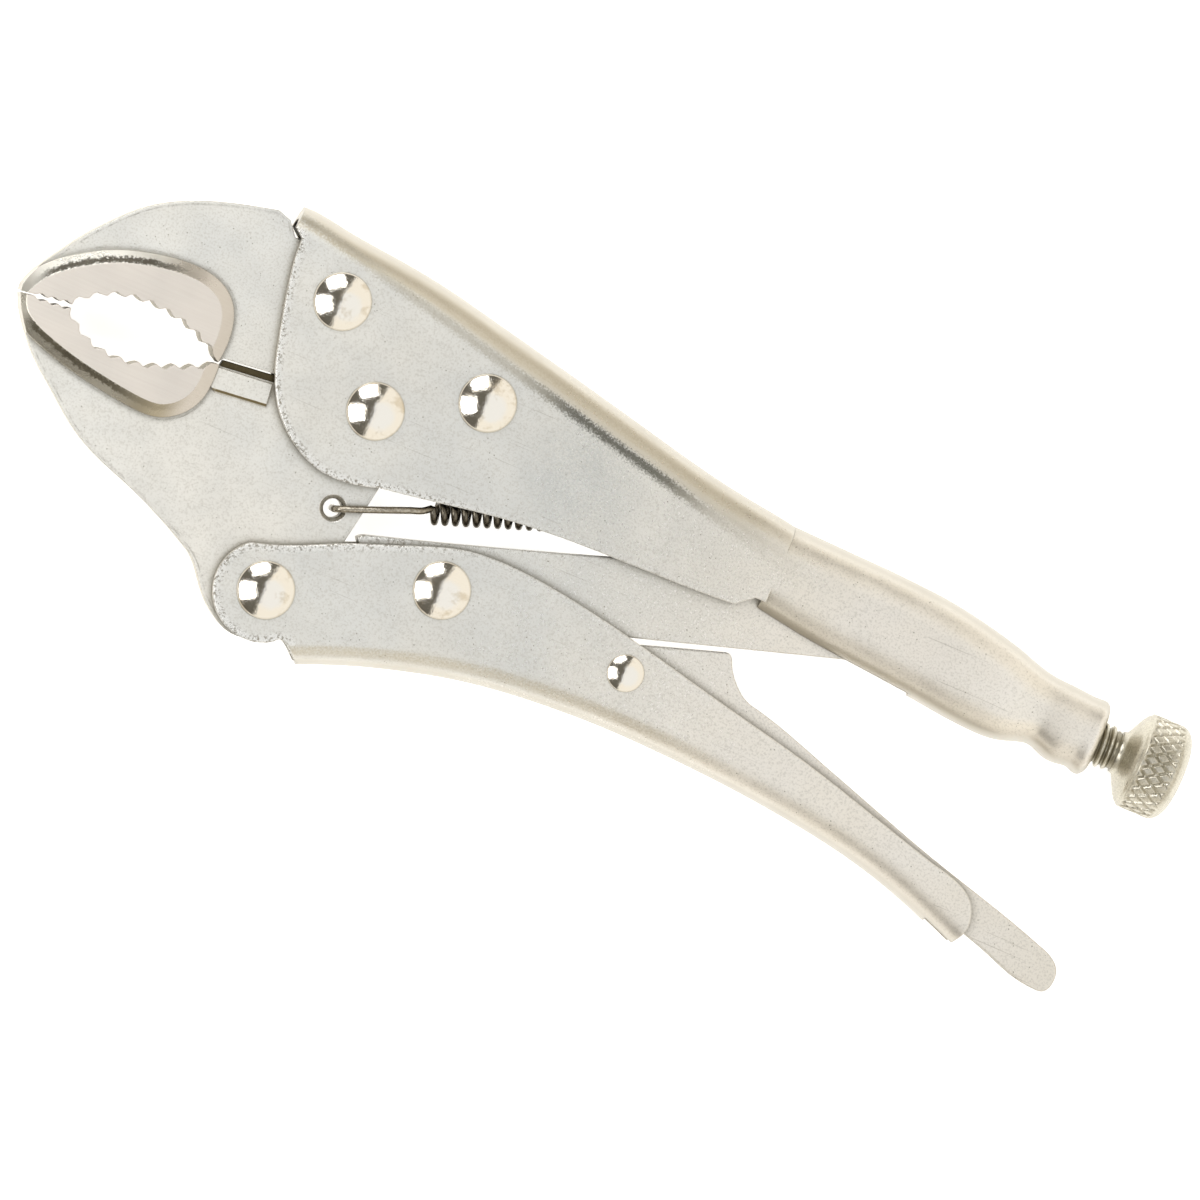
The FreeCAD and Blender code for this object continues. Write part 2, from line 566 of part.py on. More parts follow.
KNOB = size("knob_radius")
TIP = size("tip_radius")
screw_blank = turned_on_screw_line("screw_blank", (103.6, 0.0), [
    ("line", [(103.6, TIP - 0.8)]),
    ("arc", [(103.83, TIP - 0.23), (104.4, TIP)]),
    ("line", [(110.0, TIP)] + thread(110.4, 143.4) + [(143.6, 3.55), (144.4, 3.7)]),
    ("curve", [(145.0, 4.6), (146.0, 6.4), (147.1, KNOB - 0.5)]),
    ("curve", [(147.5, KNOB - 0.1), (148.1, KNOB)]),
    ("line", [(153.0, KNOB)]),
    ("curve", [(154.6, KNOB - 0.7), (155.6, KNOB - 2.2), (155.95, KNOB - 4.2)]),
    ("line", [(156.0, 0.0), (103.6, 0.0)])])
knurl = []
for number in range(int(size("knurl_count"))):
    turn = 360.0 * number / size("knurl_count")
    for lean in (-size("knurl_angle"), size("knurl_angle")):
        groove = doc.addObject("Part::Box", "groove")
        groove.Length = 16.0
        groove.setExpression("Width", "Sizes.knurl_width")
        groove.Height = 2.0
        start = V(-8.0, -size("knurl_width") / 2, KNOB - size("knurl_depth"))
        twist = FreeCAD.Rotation(V(1, 0, 0), turn) * FreeCAD.Rotation(V(0, 0, 1), lean)
        seat = V(size("shift_along") + 151.6, size("shift_up") + size("screw_level"), size("mid_height"))
        groove.Placement = FreeCAD.Placement(seat + twist.multVec(start), twist)
        knurl.append(groove)
adjusting_screw = less("adjusting_screw", screw_blank, knurl)

RING_INSIDE = TIP + size("pin_clearance")
RING_START = size("ring_start")
RING_STOP = RING_START + size("ring_width")
screw_stop_ring = turned_on_screw_line("screw_stop_ring", (RING_START, RING_INSIDE), [
    ("line", [(RING_START, size("ring_radius")), (RING_STOP, size("ring_radius")),
              (RING_STOP, RING_INSIDE), (RING_START, RING_INSIDE)])])


# ---------------------------------------------------------------- return spring

WIRE = size("wire_radius")
COIL = size("coil_radius")
LEAN = math.radians(19.8)
along = V(math.cos(LEAN), math.sin(LEAN), 0)
aside = V(-math.sin(LEAN), math.cos(LEAN), 0)
coil_start = V(16.6, -12.15, 0)
coil_length = size("coil_pitch") * size("coil_turns")

helix = Part.makeHelix(size("coil_pitch"), coil_length, COIL)
ring = Part.Wire(Part.makeCircle(WIRE, V(COIL, 0, 0), V(0, 1, 0)))
coil = Part.Wire(helix).makePipeShell([ring], True, True)
coil.Placement = FreeCAD.Placement(
    coil_start, FreeCAD.Rotation(V(0, 0, 1), along) * FreeCAD.Rotation(V(0, 0, 1), 180))
coil_in = coil.Placement.multVec(V(COIL, 0, 0))
coil_out = coil.Placement.multVec(V(COIL, 0, coil_length))


def wire_run(points):
    """Round wire through corner points, with a ball at each corner."""
    run = [Part.makeSphere(WIRE, point) for point in points]
    for here, there in zip(points, points[1:]):
        run.append(Part.makeCylinder(WIRE, (there - here).Length, here, there - here))
    return run


hole = V(SPRING_HOLE[0], SPRING_HOLE[1], 0)
front_hook = wire_run([hole + V(0.3, 0, -3.6), hole + V(0.3, 0, 2.6), hole + V(0.6, 0.2, 3.4),
                       hole + V(1.4, 0.6, 3.85), hole + V(7.4, 2.6, 3.85), coil_in + V(-2.2, -1.0, 0.9),
                       coil_in])
rear_hook = wire_run([coil_out, coil_out + along * 1.6 - aside * 0.6,
                      V(63.6, 5.75, 0), V(68.9, 5.75, 0), V(69.6, 6.4, 0), V(69.6, 7.2, 0)])
return_spring = plain("return_spring", coil.fuse(front_hook + rear_hook))


# ---------------------------------------------------------------- write the parts

nodes = [upper_handle, fixed_jaw, movable_jaw, lower_handle, toggle_link, release_lever,
         adjusting_screw, screw_stop_ring, return_spring] + rivets
for node in nodes:
    name_it(node, node.Name)
doc.recompute()

broken = [thing.Name for thing in doc.Objects if "Invalid" in thing.State or "Error" in thing.State]
if broken:
    raise RuntimeError("these did not build: %s" % ", ".join(broken))
os.makedirs("parts", exist_ok=True)
for node in nodes:
    if not node.Shape.isValid() or len(node.Shape.Solids) != 1:
        raise RuntimeError("%s is not one sound solid: %d" % (node.Name, len(node.Shape.Solids)))
    node.Shape.exportStep("parts/%s.step" % node.Name)
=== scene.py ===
import math

import bpy
from mathutils import Matrix, Vector


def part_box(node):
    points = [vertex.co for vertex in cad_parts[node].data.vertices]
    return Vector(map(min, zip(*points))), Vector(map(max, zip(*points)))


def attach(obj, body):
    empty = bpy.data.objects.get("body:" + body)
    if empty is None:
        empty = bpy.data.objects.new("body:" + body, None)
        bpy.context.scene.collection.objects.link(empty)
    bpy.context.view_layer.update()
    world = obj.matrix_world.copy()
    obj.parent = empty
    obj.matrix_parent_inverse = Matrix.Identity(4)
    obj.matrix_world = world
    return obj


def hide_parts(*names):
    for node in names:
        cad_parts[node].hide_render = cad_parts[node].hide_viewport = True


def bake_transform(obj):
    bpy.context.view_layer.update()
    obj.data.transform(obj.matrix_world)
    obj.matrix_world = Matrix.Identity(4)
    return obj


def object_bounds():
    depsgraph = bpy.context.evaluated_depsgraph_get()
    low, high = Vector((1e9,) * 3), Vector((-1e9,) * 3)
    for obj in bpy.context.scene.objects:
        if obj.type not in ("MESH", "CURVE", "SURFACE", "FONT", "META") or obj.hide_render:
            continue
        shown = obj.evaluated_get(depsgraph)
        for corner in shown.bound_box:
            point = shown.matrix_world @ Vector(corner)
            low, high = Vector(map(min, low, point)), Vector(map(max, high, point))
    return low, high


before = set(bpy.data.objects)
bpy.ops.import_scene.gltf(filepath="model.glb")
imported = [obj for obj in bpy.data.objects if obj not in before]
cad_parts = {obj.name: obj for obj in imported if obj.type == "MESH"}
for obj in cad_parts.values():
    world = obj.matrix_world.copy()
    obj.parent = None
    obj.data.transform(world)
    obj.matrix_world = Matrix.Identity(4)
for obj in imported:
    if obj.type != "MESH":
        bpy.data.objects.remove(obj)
cad_low, cad_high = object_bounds()

MM = 0.001


def middle(node):
    low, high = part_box(node)
    return (low + high) / 2


PIVOT = middle("jaw_pivot_rivet")
AXIS = middle("adjusting_screw")
SCREW_LOW, SCREW_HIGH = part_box("adjusting_screw")
KNOB_RADIUS = (SCREW_HIGH.z - SCREW_LOW.z) / 2
KNOB_START = SCREW_HIGH.x - 11.6 * MM


def at(x, y, z=0.0):
    """A point given in millimetres from the jaw pivot on the middle plane."""
    return PIVOT + Vector((x, y, z)) * MM


# ---------------------------------------------------------------- nodes

class Nodes:
    """Short names for building one node tree. A value may be a number, a colour or a socket."""

    def __init__(self, tree):
        self.tree = tree
        tree.nodes.clear()

    def add(self, kind, **settings):
        node = self.tree.nodes.new(kind)
        for key, value in settings.items():
            setattr(node, key, value)
        return node

    def link(self, source, target):
        self.tree.links.new(source, target)

    def feed(self, socket, value):
        if isinstance(value, bpy.types.NodeSocket):
            self.link(value, socket)
        else:
            socket.default_value = value

    def math(self, kind, a, b=0.0, clamp=False):
        node = self.add("ShaderNodeMath", operation=kind, use_clamp=clamp)
        self.feed(node.inputs[0], a)
        self.feed(node.inputs[1], b)
        return node.outputs[0]

    def times(self, *factors):
        product = factors[0]
        for factor in factors[1:]:
            product = self.math("MULTIPLY", product, factor)
        return product

    def plus(self, a, b):
        return self.math("ADD", a, b)

    def minus(self, a, b, clamp=False):
        return self.math("SUBTRACT", a, b, clamp)

    def span(self, value, low, high, start=0.0, stop=1.0):
        """The value's place between low and high, smoothed, as start to stop."""
        node = self.add("ShaderNodeMapRange", interpolation_type="SMOOTHSTEP")
        for socket, number in zip(node.inputs, (value, low, high, start, stop)):
            self.feed(socket, number)
        return node.outputs[0]

    def mix(self, share, a, b):
        """Colour a, turning into colour b as the share goes from 0 to 1."""
        node = self.add("ShaderNodeMix", data_type="RGBA")
        share_socket, a_socket, b_socket, result = 0, 6, 7, 2
        self.feed(node.inputs[share_socket], share)
        self.feed(node.inputs[a_socket], a)
        self.feed(node.inputs[b_socket], b)
        return node.outputs[result]


class Finish(Nodes):
    """A finish on the object's own coordinates, metal unless it says otherwise."""

    def __init__(self, name, metallic=1.0):
        self.material = bpy.data.materials.new(name)
        self.material.use_nodes = True
        super().__init__(self.material.node_tree)
        self.shader = self.add("ShaderNodeBsdfPrincipled")
        self.shader.inputs["Metallic"].default_value = metallic
        out = self.add("ShaderNodeOutputMaterial")
        self.link(self.shader.outputs[0], out.inputs["Surface"])
        coordinates = self.add("ShaderNodeTexCoord")
        self.place = coordinates.outputs["Object"]
        self.facing = coordinates.outputs["Normal"]

    def part(self, vector, axis):
        node = self.add("ShaderNodeSeparateXYZ")
        self.link(vector, node.inputs[0])
        return node.outputs[axis]

    def stretched(self, scale, angle=0.0):
        """The place turned about the thickness and scaled: small numbers draw a pattern out."""
        node = self.add("ShaderNodeMapping")
        self.link(self.place, node.inputs["Vector"])
        node.inputs["Rotation"].default_value = (0, 0, angle)
        node.inputs["Scale"].default_value = scale
        return node.outputs[0]

    def noise(self, per_mm, detail=2.0, rough=0.5, place=None):
        node = self.add("ShaderNodeTexNoise")
        self.link(place or self.place, node.inputs["Vector"])
        node.inputs["Scale"].default_value = per_mm / MM
        node.inputs["Detail"].default_value = detail
        node.inputs["Roughness"].default_value = rough
        return node.outputs["Fac"]

    def cells(self, per_mm):
        node = self.add("ShaderNodeTexVoronoi")
        self.link(self.place, node.inputs["Vector"])
        node.inputs["Scale"].default_value = per_mm / MM
        return node

    def rounded(self, radius_mm, samples=4):
        """The normal as if every edge were rounded over."""
        node = self.add("ShaderNodeBevel", samples=samples)
        node.inputs["Radius"].default_value = radius_mm * MM
        return node.outputs[0]

    def edges(self, normal, start=0.995, stop=0.85):
        """1 where the rounded normal leaves the true one, near an edge."""
        true = self.add("ShaderNodeNewGeometry").outputs["Normal"]
        node = self.add("ShaderNodeVectorMath", operation="DOT_PRODUCT")
        self.link(normal, node.inputs[0])
        self.link(true, node.inputs[1])
        return self.span(node.outputs["Value"], start, stop)

    def bump(self, height, depth_mm, strength, normal=None):
        node = self.add("ShaderNodeBump")
        node.inputs["Strength"].default_value = strength
        node.inputs["Distance"].default_value = depth_mm * MM
        self.link(height, node.inputs["Height"])
        if normal:
            self.link(normal, node.inputs["Normal"])
        return node.outputs[0]

    def finish(self, colour, roughness, normal):
        self.feed(self.shader.inputs["Base Color"], colour)
        self.feed(self.shader.inputs["Roughness"], roughness)
        self.link(normal, self.shader.inputs["Normal"])
        return self.material


def rgb(r, g, b):
    """A screen colour, 0 to 255, as the linear colour that nodes use."""
    def linear(v):
        v /= 255.0
        return v / 12.92 if v <= 0.04045 else ((v + 0.055) / 1.055) ** 2.4
    return (linear(r), linear(g), linear(b), 1.0)


# Nickel plate, cool on the flat cheeks and cream on the bends and towards the rear, the cream being painted
# reflection of the warm surroundings
COOL, COOL_CLOUD = rgb(231, 231, 227), rgb(236, 234, 227)
REFLECTED_CREAM, REFLECTED_CREAM_CLOUD = rgb(249, 243, 231), rgb(252, 247, 238)
SPECK, HAIRLINE, PIT = rgb(190, 185, 174), rgb(150, 142, 126), rgb(122, 112, 94)
# Painted shade for close corners and overlaps
PAINTED_SHADE = rgb(96, 88, 68)
# Painted highlights along the edges, with dark specks on sheared ones
PAINTED_EDGE_HIGHLIGHT, PAINTED_WHITE_EDGE, EDGE_SPECK = rgb(253, 251, 246), rgb(255, 254, 250), rgb(120, 108, 84)
# The handles' bends, with a dull patch, painted reflection on the back's crest, and painted shade on the
# bends, the steep sides and a line inside the back
DULL, BACK_CREST_REFLECTION, STEEP_SIDE_SHADE = rgb(204, 206, 203), rgb(216, 209, 194), rgb(202, 197, 186)
BEND_SHADE, BACK_SHADE_LINE, BACK_SHADE_LINE_DARK = rgb(190, 178, 150), rgb(150, 138, 108), rgb(84, 82, 70)
# The jaws, with painted shade on the side walls, round the mouth, on the cutter block's back, in the throat
# and along the outline
LAND, LAND_SCRATCH = rgb(220, 213, 205), rgb(225, 219, 211)
JAW_SIDE_SHADE, MOUTH_SIDE_SHADE, BLOCK_BACK_SHADE = rgb(200, 194, 180), rgb(150, 140, 112), rgb(138, 125, 95)
THROAT_SHADE, THROAT_SHADE_GRAIN, JAW_OUTLINE_SHADE = rgb(58, 48, 28), rgb(120, 108, 80), rgb(88, 78, 56)


def along_tool(f, start, stop):
    """0 to 1 from one place to another along the tool, in millimetres behind the jaw pivot."""
    return f.span(f.part(f.place, 0), PIVOT.x + start * MM, PIVOT.x + stop * MM)


def band(f, place, low, full_from, full_to, high):
    """1 where a place is between the inner two of four distances in millimetres, 0 beyond the outer two."""
    return f.times(f.span(place, low * MM, full_from * MM), f.span(place, high * MM, full_to * MM))


def spot(f, x, y, inner, outer):
    """1 within the inner and 0 beyond the outer distance, in millimetres, of a point beside the jaw pivot."""
    from_x = f.minus(f.part(f.place, 0), PIVOT.x + x * MM)
    from_y = f.minus(f.part(f.place, 1), PIVOT.y + y * MM)
    far = f.math("SQRT", f.plus(f.math("POWER", from_x, 2.0), f.math("POWER", from_y, 2.0)))
    return f.span(far, outer * MM, inner * MM)


def sandy(f, base, coarse):
    """Fine sandy grain, deeper where it is coarse, with sparse pits and small glinting facets."""
    grains = f.noise(2.6, 3.0, 0.65)
    facets = f.cells(3.4)
    pits = f.span(f.cells(1.15).outputs["Distance"], 0.17, 0.08)
    pits = f.times(pits, f.span(f.noise(0.4, 2.0), 0.54, 0.62))
    height = f.times(f.plus(grains, f.times(facets.outputs["Distance"], 0.5)), coarse)
    height = f.minus(height, f.times(pits, 0.35))
    glint = f.span(f.part(facets.outputs["Color"], 0), 0.90, 0.97)
    glint = f.times(glint, f.math("POWER", coarse, 2.0))
    return f.bump(height, 0.03, 0.6, base), pits, glint, grains


def plated(f, grains, pits, cream):
    """Nickel's colour: a cool plate that warms towards cream as painted reflection, with specks, clouds,
    hairlines and pits.
    """
    cloud = f.span(f.noise(0.035, 3.0, 0.6), 0.35, 0.68)
    colour = f.mix(cream, f.mix(cloud, COOL, COOL_CLOUD), f.mix(cloud, REFLECTED_CREAM, REFLECTED_CREAM_CLOUD))
    colour = f.mix(f.span(grains, 0.32, 0.55), f.mix(0.4, colour, SPECK), colour)
    hairs = f.noise(1.0, 2.0, 0.5, f.stretched((0.05, 3.0, 1.0), 0.9))
    colour = f.mix(f.times(f.span(hairs, 0.70, 0.76), 0.35), colour, HAIRLINE)
    return f.mix(f.times(pits, 0.75), colour, PIT)


def shaded(f, colour, reach, share):
    """Painted shade in close corners and under overlapping plates."""
    node = f.add("ShaderNodeAmbientOcclusion", samples=6)
    node.inputs["Distance"].default_value = reach * MM
    closed = f.span(node.outputs["AO"], 0.95, 0.35)
    return f.mix(f.times(closed, share), colour, PAINTED_SHADE)


# The upper handle's back falls this much for each millimetre rearwards, from this far above the jaw pivot.
BACK_FALL, BACK_HEIGHT = 0.2276, 24.35


def pressed_nickel():
    """Bent sheet: sandy plate with painted cream reflection to the rear and on the back's crest, painted
    shade on the bends and steep sides, a painted shade line inside the back bend, and speckled sheared edges
    with a painted highlight.
    """
    f = Finish("pressed_nickel")
    flat = f.math("ABSOLUTE", f.part(f.facing, 2))
    specks = f.noise(3.0, 3.0, 0.7)
    body = f.minus(1.0, along_tool(f, 62, 84))
    nose = f.minus(1.0, f.times(along_tool(f, 6, 32), 0.75))
    # Edges: real wear, as coarser grain and less roughness, and a painted highlight.
    wear_and_edge_highlight = f.times(f.edges(f.rounded(2.6, 6), 0.9999, 0.975), f.span(flat, 0.97, 0.995), nose, body)
    coarse = f.times(along_tool(f, 18, 42), f.minus(1.0, along_tool(f, 66, 100)), 0.55)
    coarse = f.plus(f.plus(coarse, 0.35), f.times(wear_and_edge_highlight, 0.6))
    normal, pits, glint, grains = sandy(f, f.rounded(0.5), coarse)

    # The plate warms to cream towards the rear: painted reflection.
    colour = plated(f, grains, pits, along_tool(f, 34, 86))
    dull = f.times(spot(f, 37, 3, 3, 15), f.span(specks, 0.35, 0.65, 0.0, 0.6))
    colour = f.mix(dull, colour, DULL)

    below_back = f.plus(f.part(f.place, 1), f.times(f.part(f.place, 0), BACK_FALL))
    below_back = f.minus(below_back, PIVOT.y + BACK_FALL * PIVOT.x + BACK_HEIGHT * MM)
    # Painted warm reflection along the crest of the back.
    crest = f.span(below_back, -3.6 * MM, -2.4 * MM)
    colour = f.mix(f.times(crest, body), colour, BACK_CREST_REFLECTION)
    # A painted shade line inside the back bend, ragged, darkest along the middle of the handle and fading to
    # the rear.
    wandering = f.plus(below_back, f.times(f.minus(specks, 0.5), 3.2 * MM))
    line = band(f, wandering, -5.4, -4.0, -3.5, -2.6)
    strong = f.times(along_tool(f, 17, 34), f.minus(1.0, along_tool(f, 48, 66)))
    share = f.times(f.plus(f.times(strong, 0.45), 0.40), f.minus(1.0, along_tool(f, 52, 84)))
    colour = f.mix(f.times(line, share), colour, f.mix(strong, BACK_SHADE_LINE, BACK_SHADE_LINE_DARK))

    # Painted shade on the bends.
    bend = f.times(f.span(flat, 0.998, 0.965), f.span(flat, 0.70, 0.90), f.plus(f.times(body, 0.5), 0.02))
    colour = f.mix(f.times(bend, f.span(specks, 0.3, 0.7, 0.2, 1.0)), colour, BEND_SHADE)
    # Painted shade on steep sides.
    colour = f.mix(f.span(flat, 0.86, 0.5), colour, STEEP_SIDE_SHADE)
    # A painted white highlight along the edges, speckled dark.
    sparkle = f.mix(f.span(f.noise(2.2, 3.0, 0.7), 0.40, 0.48), EDGE_SPECK, PAINTED_WHITE_EDGE)
    colour = f.mix(f.times(wear_and_edge_highlight, 0.85), colour, sparkle)

    rough = f.span(f.noise(0.12, 3.0, 0.6), 0.3, 0.7, 0.34, 0.42)
    rough = f.minus(f.minus(rough, f.times(glint, 0.2)), f.times(wear_and_edge_highlight, 0.1), clamp=True)
    # Painted shade in close corners and under overlaps.
    return f.finish(shaded(f, colour, 1.7, 0.75), rough, normal)


def upper_slope(f, rear, foot, crown):
    """The fixed jaw's slope: a painted highlight, near white at the front and dimmer to the rear, with
    painted shade as a tan foot and a dark line under the land.
    """
    colour = f.mix(rear, rgb(252, 250, 242), rgb(236, 228, 216))
    colour = f.mix(f.times(foot, f.plus(f.times(rear, 0.65), 0.15)), colour, rgb(112, 100, 72))
    return f.mix(f.times(crown, f.minus(0.9, f.times(rear, 0.8))), colour, rgb(66, 58, 40))


def lower_slope(f, rear, foot, crown):
    """The movable jaw's slope in painted shade: grey, darkening to the rear, between a darker foot and a dark
    line under the land.
    """
    colour = f.mix(rear, rgb(214, 209, 196), rgb(182, 173, 152))
    colour = f.mix(f.times(foot, f.minus(0.9, f.times(rear, 0.6))), colour, rgb(84, 76, 54))
    return f.mix(f.times(crown, f.minus(0.75, f.times(rear, 0.5))), colour, rgb(92, 82, 58))


def forged_nickel(name, upper):
    """A jaw: sandy plate, smooth ground lands, streaked slopes between them with painted highlight and shade,
    painted edge highlights, and painted shade on the walls, along the outline and in the dark cutter throat.
    """
    # Where the tip, the rear and the smooth part of the slope begin, in millimetres behind the jaw pivot
    if upper:
        tip_zone, rear_zone, smooth_zone = (-64, -61), (-47, -37), (-42, -34)
    else:
        tip_zone, rear_zone, smooth_zone = (-62.5, -60), (-44, -37), (-35, -30)
    f = Finish(name)
    soft = f.rounded(0.3)
    # Edges: real wear, as coarser grain and less roughness, and a painted highlight.
    wear_and_edge_highlight = f.edges(soft)
    normal, pits, _, grains = sandy(f, soft, f.plus(f.times(wear_and_edge_highlight, 0.5), 0.35))

    # Lands, slopes and walls are told apart by how far they are from the middle plane and how flat they lie.
    off_middle = f.math("ABSOLUTE", f.minus(f.part(f.place, 2), PIVOT.z))
    flat = f.math("ABSOLUTE", f.part(f.facing, 2))
    land = f.times(f.span(off_middle, 5.40 * MM, 5.46 * MM), f.span(flat, 0.9, 0.97))
    slope = f.times(f.span(off_middle, 3.21 * MM, 3.3 * MM), f.span(flat, 0.96, 0.86),
                    f.span(flat, 0.12, 0.3))
    wall = f.times(f.span(flat, 0.3, 0.1), f.span(off_middle, 5.5 * MM, 5.3 * MM))
    block_back = f.times(slope, along_tool(f, -27.2, -26.8))

    # Bands across the slope, ragged by noise, where highlight and shade are painted.
    rise = f.plus(off_middle, f.times(f.minus(f.noise(1.8, 4.0, 0.75), 0.5), 1.5 * MM))
    tip = along_tool(f, *tip_zone)
    rear = along_tool(f, *rear_zone)
    foot = band(f, rise, 2.9, 3.2, 3.5, 3.9)
    crown = f.times(band(f, rise, 4.7, 5.0, 5.3, 5.7), tip)
    if upper:
        sloped = upper_slope(f, rear, foot, crown)
    else:
        sloped = lower_slope(f, rear, f.times(foot, tip), crown)
    slope = f.minus(slope, block_back)
    scratches = f.noise(1.1, 3.0, 0.6, f.stretched((0.06, 2.2, 1.0), math.radians(-38)))
    ground = f.mix(f.span(scratches, 0.2, 0.8), LAND, LAND_SCRATCH)

    # The jaw warms a little to cream lower down: painted reflection.
    cream = f.times(f.span(f.part(f.place, 1), PIVOT.y - 8 * MM, PIVOT.y - 34 * MM), 0.25)
    # A painted highlight along the edges.
    colour = f.mix(f.times(wear_and_edge_highlight, 0.5), plated(f, grains, pits, cream), PAINTED_EDGE_HIGHLIGHT)
    # Painted shade on the side walls, darker round the mouth.
    colour = f.mix(wall, colour, JAW_SIDE_SHADE)
    colour = f.mix(f.times(wall, spot(f, -38, -3, 13, 15), 0.85), colour, MOUTH_SIDE_SHADE)
    colour = f.mix(land, colour, ground)
    colour = f.mix(slope, colour, sloped)
    smooth = f.times(along_tool(f, *smooth_zone), slope, f.span(off_middle, 3.7 * MM, 4.1 * MM))
    colour = f.mix(smooth, colour, ground)
    # Painted shade on the back slope of the cutter block.
    colour = f.mix(block_back, colour, BLOCK_BACK_SHADE)

    # The cutter throat, painted dark as shade.
    in_throat = f.times(along_tool(f, -28.6, -28.2), f.span(off_middle, 3.0 * MM, 2.9 * MM),
                        f.minus(1.0, along_tool(f, -14, -12)),
                        f.span(f.part(f.place, 1), PIVOT.y - 5 * MM, PIVOT.y - 4.8 * MM))
    colour = f.mix(in_throat, colour, f.mix(grains, THROAT_SHADE, THROAT_SHADE_GRAIN))
    # A dark line along the outline, painted as shade.
    rim = f.edges(f.rounded(1.2, 6), 0.9998, 0.96)
    outline = f.times(f.span(rim, 0.0, 0.12), f.span(rim, 0.95, 0.7),
                      f.span(f.noise(0.5, 4.0, 0.7), 0.38, 0.62), f.span(off_middle, 3.6 * MM, 3.3 * MM))
    colour = f.mix(f.times(outline, 0.85), colour, JAW_OUTLINE_SHADE)

    rough = f.span(f.noise(0.12, 3.0, 0.6), 0.3, 0.7, 0.36, 0.44)
    rough = f.minus(f.plus(rough, f.times(land, 0.05)), f.times(slope, 0.12))
    rough = f.minus(rough, f.times(wear_and_edge_highlight, 0.16), clamp=True)
    lines = f.plus(f.times(scratches, land, 0.5), f.times(f.noise(1.8, 4.0, 0.75), slope, 2.0))
    # Painted shade in close corners and under overlaps.
    return f.finish(shaded(f, colour, 1.5, 0.7), rough, f.bump(lines, 0.02, 0.5, normal))


def polished_nickel():
    """Rivet heads: bright domes with faint marks, hairlines and pale stains, and painted shade where they
    meet the plates.
    """
    f = Finish("polished_nickel")
    marks = f.noise(0.9, 4.0, 0.6)
    hair = f.noise(2.0, 3.0, 0.6, f.stretched((0.15, 2.5, 1.0), 0.6))
    stain = f.span(f.noise(0.35, 3.0, 0.6), 0.52, 0.72)
    colour = f.mix(stain, rgb(246, 241, 231), rgb(226, 216, 198))
    rough = f.plus(f.span(hair, 0.3, 0.8, 0.07, 0.16), f.times(stain, 0.06))
    height = f.plus(marks, f.times(hair, 0.2))
    # Painted shade where the heads meet the plates.
    return f.finish(shaded(f, colour, 0.8, 0.7), rough, f.bump(height, 0.05, 0.6))


def screw_steel():
    """Plated turned steel of the screw, with painted shade between its threads and, faintly, in the knurl's
    grooves.
    """
    f = Finish("screw_steel")
    rings = f.noise(2.4, 3.0, 0.6, f.stretched((3.0, 0.12, 0.12)))
    grain = f.noise(3.0, 3.0, 0.6)
    cloud = f.noise(0.3, 3.0, 0.6)
    radius = f.math("SQRT", f.plus(f.math("POWER", f.minus(f.part(f.place, 1), AXIS.y), 2.0),
                                   f.math("POWER", f.minus(f.part(f.place, 2), AXIS.z), 2.0)))
    knurl_groove_shade = f.times(f.span(radius, KNOB_RADIUS - 0.1 * MM, KNOB_RADIUS - 0.38 * MM),
                     f.span(f.part(f.place, 0), KNOB_START + 3.2 * MM, KNOB_START + 3.6 * MM),
                     f.span(radius, KNOB_RADIUS - 0.7 * MM, KNOB_RADIUS - 0.5 * MM))
    thread_root_shade = f.span(radius, 3.95 * MM, 3.4 * MM)
    colour = f.mix(f.span(cloud, 0.35, 0.65), rgb(209, 204, 189), rgb(218, 213, 198))
    colour = f.mix(f.span(grain, 0.35, 0.6), f.mix(0.4, colour, rgb(150, 144, 126)), colour)
    # Painted shade, faint in the knurl's grooves and deep between the threads.
    colour = f.mix(f.times(knurl_groove_shade, 0.05), colour, rgb(136, 128, 104))
    colour = f.mix(f.times(thread_root_shade, 0.7), colour, rgb(112, 104, 82))
    rough = f.span(rings, 0.3, 0.7, 0.26, 0.40)
    height = f.plus(f.times(rings, 0.6), f.times(grain, 0.5))
    return f.finish(colour, rough, f.bump(height, 0.02, 0.5))


def spring_steel():
    """Drawn spring wire, dull grey-brown with lengthwise die marks, its coil darker than its straight end."""
    f = Finish("spring_steel")
    grain = f.noise(2.2, 3.0, 0.6)
    draw = f.noise(1.5, 3.0, 0.6, f.stretched((0.12, 2.4, 2.4), math.radians(-20)))
    colour = f.mix(f.span(grain, 0.35, 0.65), rgb(150, 142, 128), rgb(188, 181, 167))
    colour = f.mix(f.times(along_tool(f, 14.5, 16.5), 0.75), colour, rgb(78, 72, 60))
    rough = f.span(draw, 0.3, 0.7, 0.22, 0.38)
    height = f.plus(draw, f.times(grain, 0.4))
    return f.finish(colour, rough, f.bump(height, 0.015, 0.5))


# ---------------------------------------------------------------- mesh helpers

def piece(name, points, faces, finish, sharp=35):
    """A mesh object, smooth except where faces meet at more than the sharp angle in degrees."""
    mesh = bpy.data.meshes.new(name)
    mesh.from_pydata(points, [], faces)
    mesh.validate()
    mesh.shade_smooth()
    mesh.set_sharp_from_angle(angle=math.radians(sharp))
    mesh.materials.append(finish)
    made = bpy.data.objects.new(name, mesh)
    bpy.context.scene.collection.objects.link(made)
    return made


def circle(centre, across, other, radius, count):
    """Points round a centre. The radius is a number or a function of the angle."""
    ring = []
    for k in range(count):
        angle = 2 * math.pi * k / count
        r = radius(angle) if callable(radius) else radius
        ring.append(centre + (across * math.cos(angle) + other * math.sin(angle)) * r)
    return ring


